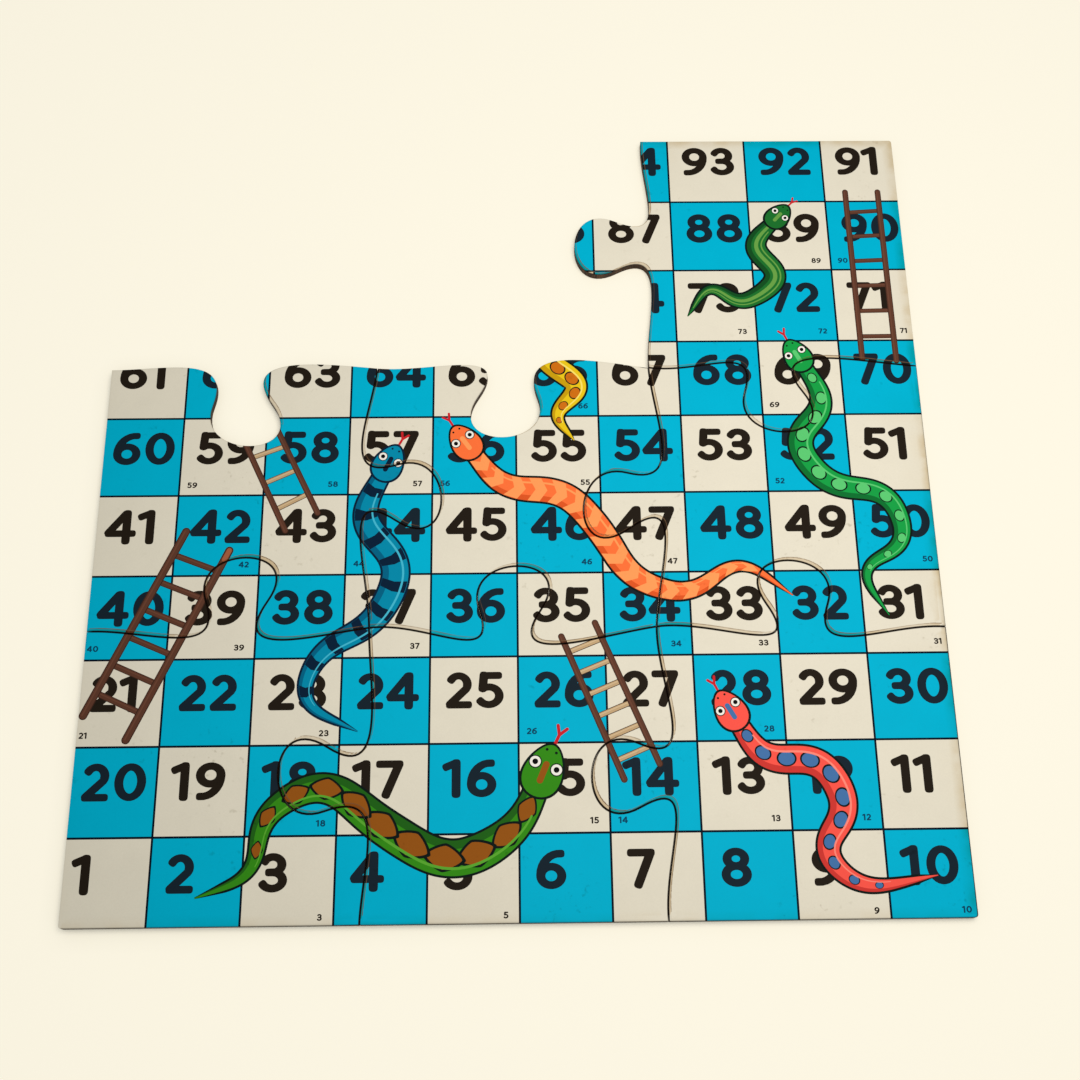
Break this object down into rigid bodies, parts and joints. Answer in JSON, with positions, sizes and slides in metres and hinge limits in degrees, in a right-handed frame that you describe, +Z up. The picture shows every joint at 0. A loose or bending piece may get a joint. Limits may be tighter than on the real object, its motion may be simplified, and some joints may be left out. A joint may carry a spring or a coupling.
{
  "type": "snakes and ladders board",
  "caption": "Flat printed fibreboard game board, cut into interlocking jigsaw tiles that lift apart, with a numbered chequered track, ladders and snakes.",
  "frame": {"origin": "middle of the full square board's underside", "axes": "+X to the right along the bottom row, +Y from the bottom row to the top row, +Z up out of the printed face"},
  "size_m": [0.3, 0.3, 0.0032],
  "materials": {
    "fibreboard": "matt, raw on the underside and charred along the cut edges",
    "printed_film": "satin printed film, blue and cream squares with dark numbers"
  },
  "bodies": {
    "centre": {"centre_core": "fibreboard", "centre_print": "printed_film"},
    "bottom_left": {"bottom_left_core": "fibreboard", "bottom_left_print": "printed_film"},
    "bottom_middle": {"bottom_middle_core": "fibreboard", "bottom_middle_print": "printed_film"},
    "bottom_right": {"bottom_right_core": "fibreboard", "bottom_right_print": "printed_film"},
    "middle_left": {"middle_left_core": "fibreboard", "middle_left_print": "printed_film"},
    "middle_right": {"middle_right_core": "fibreboard", "middle_right_print": "printed_film"},
    "top_right": {"top_right_core": "fibreboard", "top_right_print": "printed_film"}
  },
  "joints": [
    {"name": "bottom_left_lift", "type": "slide", "parent": "centre", "child": "bottom_left", "axis": [0, 0, 1], "range_m": [0, 0.03]},
    {"name": "bottom_middle_lift", "type": "slide", "parent": "centre", "child": "bottom_middle", "axis": [0, 0, 1], "range_m": [0, 0.03]},
    {"name": "bottom_right_lift", "type": "slide", "parent": "centre", "child": "bottom_right", "axis": [0, 0, 1], "range_m": [0, 0.03]},
    {"name": "middle_left_lift", "type": "slide", "parent": "centre", "child": "middle_left", "axis": [0, 0, 1], "range_m": [0, 0.03]},
    {"name": "middle_right_lift", "type": "slide", "parent": "centre", "child": "middle_right", "axis": [0, 0, 1], "range_m": [0, 0.03]},
    {"name": "top_right_lift", "type": "slide", "parent": "centre", "child": "top_right", "axis": [0, 0, 1], "range_m": [0, 0.03]}
  ]
}
